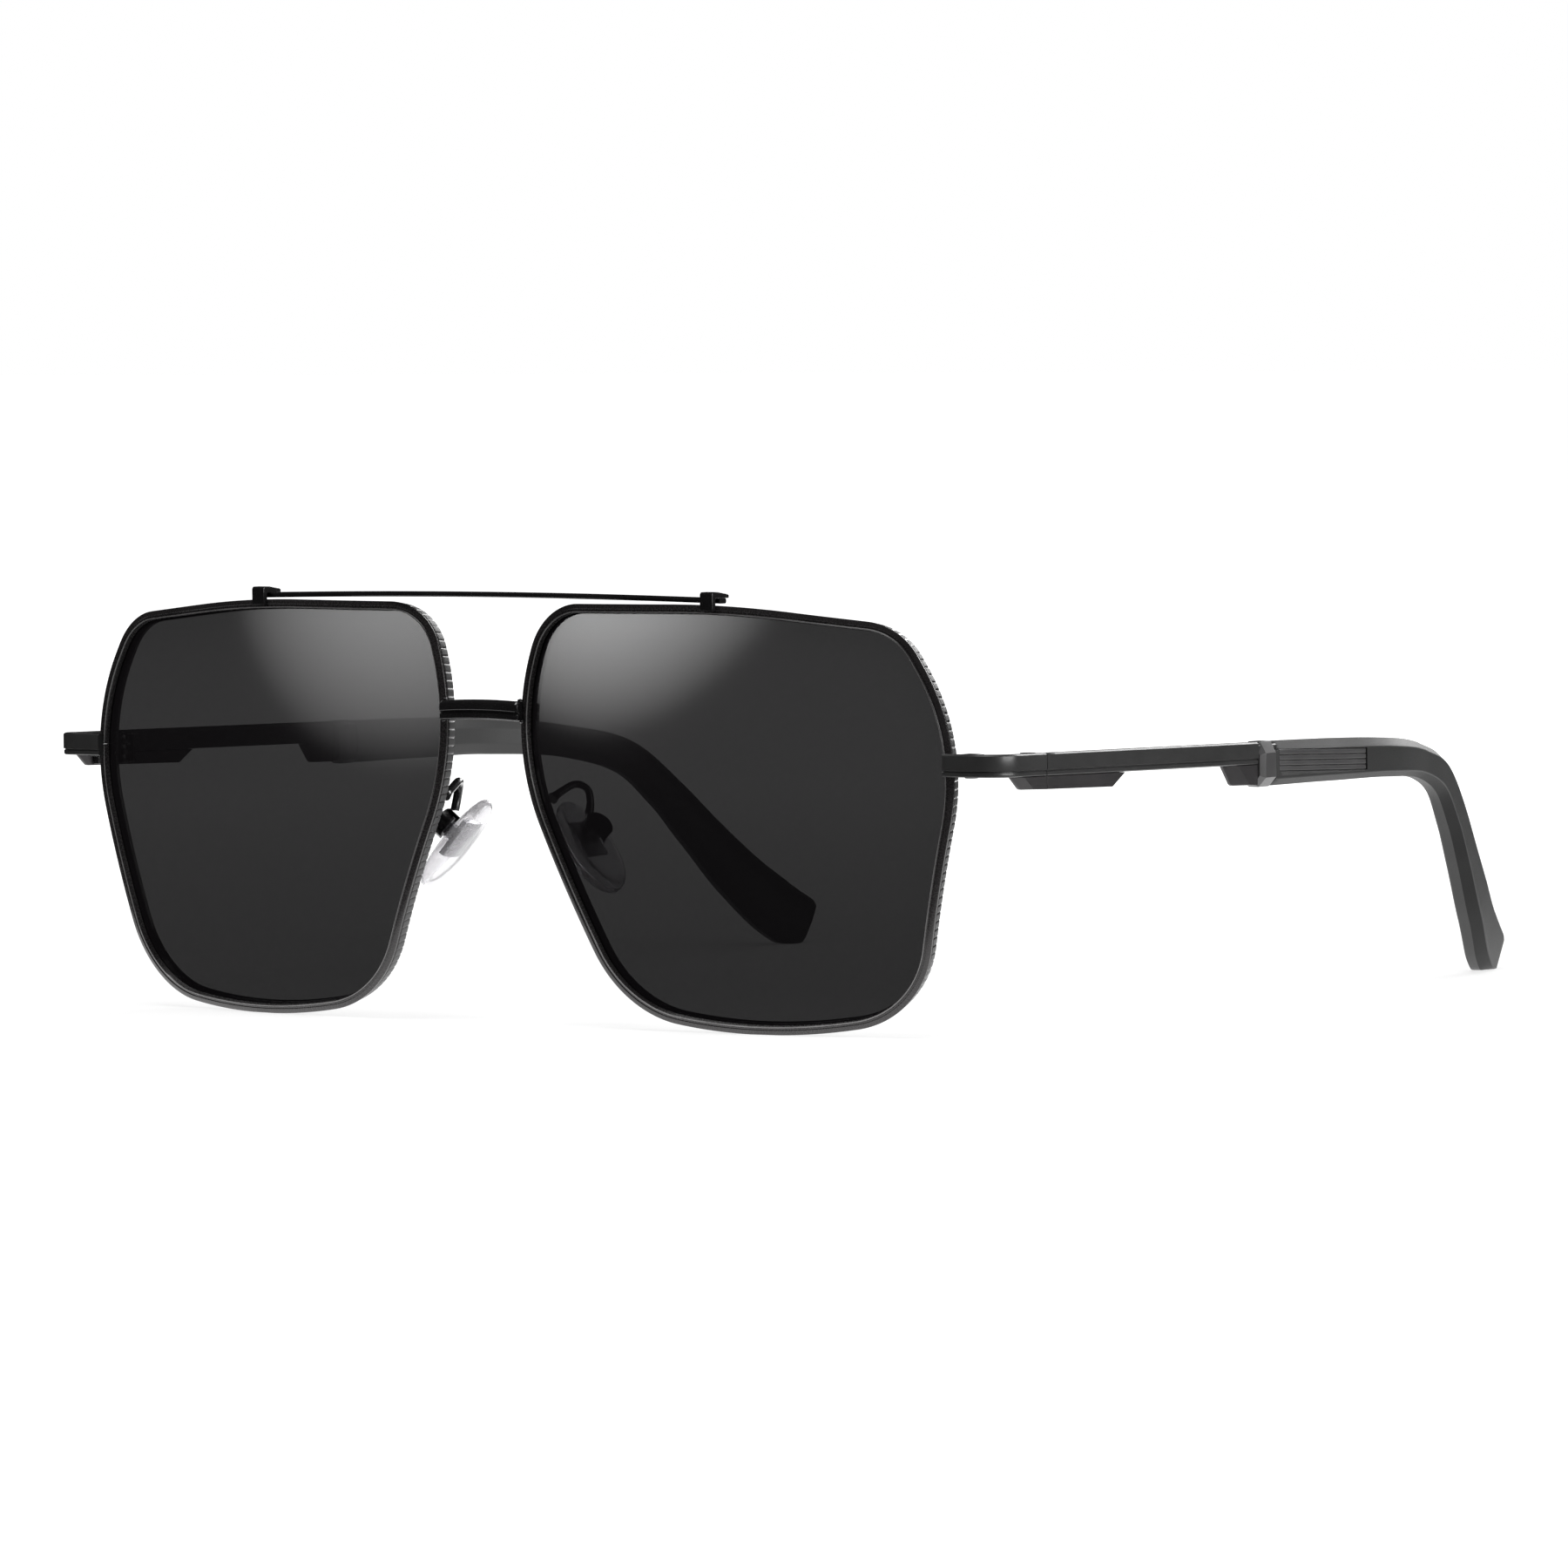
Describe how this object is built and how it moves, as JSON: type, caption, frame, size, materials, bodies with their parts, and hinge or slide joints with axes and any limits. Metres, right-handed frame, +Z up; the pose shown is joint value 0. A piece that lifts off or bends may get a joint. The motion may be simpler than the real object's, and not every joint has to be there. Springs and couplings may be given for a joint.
{
  "type": "aviator sunglasses",
  "caption": "Double-bridge square pilot sunglasses: slim metal front, dark grey lenses, folding metal temples with plastic tips, rocking clear nose pads.",
  "frame": {"origin": "centre of the footprint on the surface the open glasses stand on", "axes": "+X to the wearer's left, the front faces -Y, temples run along +Y, +Z up"},
  "size_m": [0.149, 0.1446, 0.0536],
  "materials": {
    "black_metal": "satin black electroplated metal",
    "gunmetal": "dark grey satin metal",
    "steel": "plain screw steel",
    "black_plastic": "matte black moulded plastic",
    "tinted_lens": "neutral grey tinted lens, glossy",
    "clear_silicone": "clear moulded silicone"
  },
  "bodies": {
    "front": {"bridge": "black_metal", "brow_bar": "black_metal", "brow_post_left": "black_metal", "brow_post_right": "black_metal", "rim_left": "black_metal", "rim_right": "black_metal", "lens_left": "tinted_lens", "lens_right": "tinted_lens", "rim_lock_upper_left": "black_metal", "rim_lock_upper_right": "black_metal", "rim_lock_lower_left": "black_metal", "rim_lock_lower_right": "black_metal", "rim_lock_screw_left": "steel", "rim_lock_screw_right": "steel", "end_piece_left": "black_metal", "end_piece_right": "black_metal", "end_piece_wedge_left": "gunmetal", "end_piece_wedge_right": "gunmetal", "hinge_front_leaf_left": "black_metal", "hinge_front_leaf_right": "black_metal", "hinge_screw_left": "steel", "hinge_screw_right": "steel", "pad_arm_left": "black_metal", "pad_arm_right": "black_metal", "pad_box_left": "black_metal", "pad_box_right": "black_metal", "pad_screw_left": "steel", "pad_screw_right": "steel"},
    "temple_left": {"temple_bar_left": "black_metal", "temple_front_wedge_left": "gunmetal", "temple_rear_wedge_left": "gunmetal", "hinge_temple_leaf_left": "black_metal", "ferrule_collar_left": "gunmetal", "temple_tip_left": "black_plastic", "tip_inlay_left": "gunmetal"},
    "temple_right": {"temple_bar_right": "black_metal", "temple_front_wedge_right": "gunmetal", "temple_rear_wedge_right": "gunmetal", "hinge_temple_leaf_right": "black_metal", "ferrule_collar_right": "gunmetal", "temple_tip_right": "black_plastic", "tip_inlay_right": "gunmetal"},
    "nose_pad_left_body": {"nose_pad_left": "clear_silicone", "pad_core_left": "steel"},
    "nose_pad_right_body": {"nose_pad_right": "clear_silicone", "pad_core_right": "steel"}
  },
  "joints": [
    {"name": "temple_fold_left", "type": "hinge", "parent": "front", "child": "temple_left", "pos_m": [0.071, -0.05609, 0.03205], "axis": [0, 0, 1], "range_deg": [0, 84]},
    {"name": "temple_fold_right", "type": "hinge", "parent": "front", "child": "temple_right", "pos_m": [-0.071, -0.05609, 0.03205], "axis": [0, 0, -1], "range_deg": [0, 76]},
    {"name": "nose_pad_rock_left", "type": "hinge", "parent": "front", "child": "nose_pad_left_body", "pos_m": [0.01169, -0.06391, 0.02414], "axis": [-0.2083, -0.9772, -0.0399], "range_deg": [-8, 8]},
    {"name": "nose_pad_rock_right", "type": "hinge", "parent": "front", "child": "nose_pad_right_body", "pos_m": [-0.01169, -0.06391, 0.02414], "axis": [0.2083, -0.9772, -0.0399], "range_deg": [-8, 8]}
  ]
}
